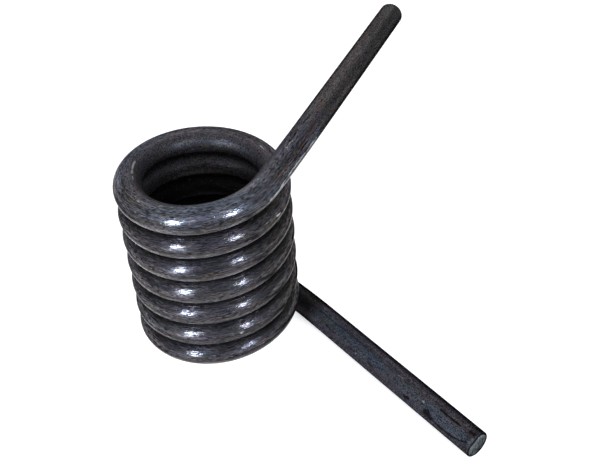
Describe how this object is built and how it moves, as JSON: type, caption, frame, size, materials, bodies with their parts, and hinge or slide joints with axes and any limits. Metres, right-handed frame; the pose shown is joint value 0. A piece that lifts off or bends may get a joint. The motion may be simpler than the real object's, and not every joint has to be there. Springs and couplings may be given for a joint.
{
  "type": "torsion spring",
  "caption": "Heavy torsion spring of round steel wire: a close-wound right-hand coil whose ends run out as long straight legs, square to its axis and spread in a V.",
  "frame": {"origin": "on the coil's axis, at the level of the plane that the lower leg lies on", "axes": "+Z along the coil's axis from the lower leg to the upper leg; +X halves the angle between the two legs as seen down the axis; the lower leg heads to -Y and the upper leg to +Y"},
  "size_m": [0.1551, 0.2227, 0.1066],
  "materials": {
    "spring_steel": "oil-tempered spring wire, charcoal scale with a satin sheen"
  },
  "bodies": {
    "root": {"torsion_spring": "spring_steel"}
  },
  "joints": []
}
